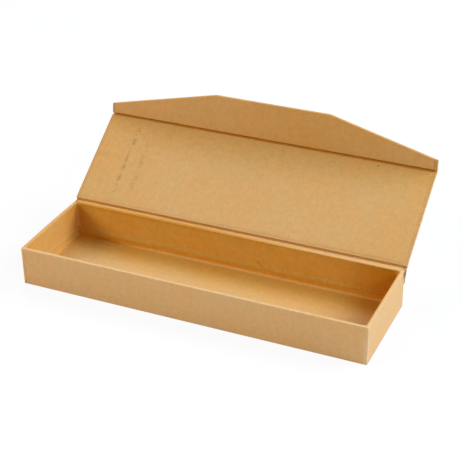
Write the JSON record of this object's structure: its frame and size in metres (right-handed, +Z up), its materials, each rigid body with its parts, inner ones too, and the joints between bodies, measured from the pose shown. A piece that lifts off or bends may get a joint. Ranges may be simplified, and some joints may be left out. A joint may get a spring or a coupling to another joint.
{
  "type": "paper-covered brush box with hinged lid",
  "caption": "Long shallow kraft-paper board box with an open tray, a lid on a paper hinge and a sloped-end flap that folds down over the front wall.",
  "frame": {"origin": "middle of the tray's underside, on the surface it stands on", "axes": "+X along the box's length to the right as seen from the front, +Y from the front wall to the hinged back wall, +Z up"},
  "size_m": [0.3616, 0.2067, 0.1409],
  "materials": {
    "tray_kraft": "matt unbleached kraft paper",
    "floor_kraft": "matt unbleached kraft paper",
    "base_kraft": "matt unbleached kraft paper",
    "spine_kraft": "matt unbleached kraft paper, creased",
    "hinge_kraft": "matt unbleached kraft paper, creased",
    "lid_kraft": "matt unbleached kraft paper",
    "liner_kraft": "matt unbleached kraft paper with faint specks",
    "flap_liner_kraft": "matt unbleached kraft paper",
    "grey_board": "dull grey board",
    "gummed_tape": "matt gummed paper tape",
    "magnet": "nickel-plated magnet",
    "steel_disc": "plain steel"
  },
  "bodies": {
    "tray": {"base_paper": "base_kraft", "base_board": "grey_board", "front_board": "grey_board", "back_board": "grey_board", "left_board": "grey_board", "right_board": "grey_board", "corner_stays": "gummed_tape", "tray_wrap": "tray_kraft", "floor_liner": "floor_kraft", "closure_magnets": "magnet", "spine_paper": "spine_kraft", "hinge_outer_paper": "spine_kraft", "hinge_inner_paper": "hinge_kraft"},
    "lid": {"lid_board": "grey_board", "lid_wrap": "lid_kraft", "lid_liner": "liner_kraft", "crease_paper": "lid_kraft"},
    "flap": {"flap_board": "grey_board", "flap_wrap": "lid_kraft", "flap_liner": "flap_liner_kraft", "flap_discs": "steel_disc"}
  },
  "joints": [
    {"name": "lid_hinge", "type": "hinge", "parent": "tray", "child": "lid", "pos_m": [0, 0.0547, 0.0409], "axis": [1, 0, 0], "range_deg": [-48.2, 145.8], "deforming": ["hinge_outer_paper", "hinge_inner_paper"]},
    {"name": "flap_crease", "type": "hinge", "parent": "lid", "child": "flap", "pos_m": [0, 0.14467, 0.10217], "axis": [1, 0, 0], "range_deg": [-48.6, 41.4], "deforming": ["crease_paper"]}
  ]
}
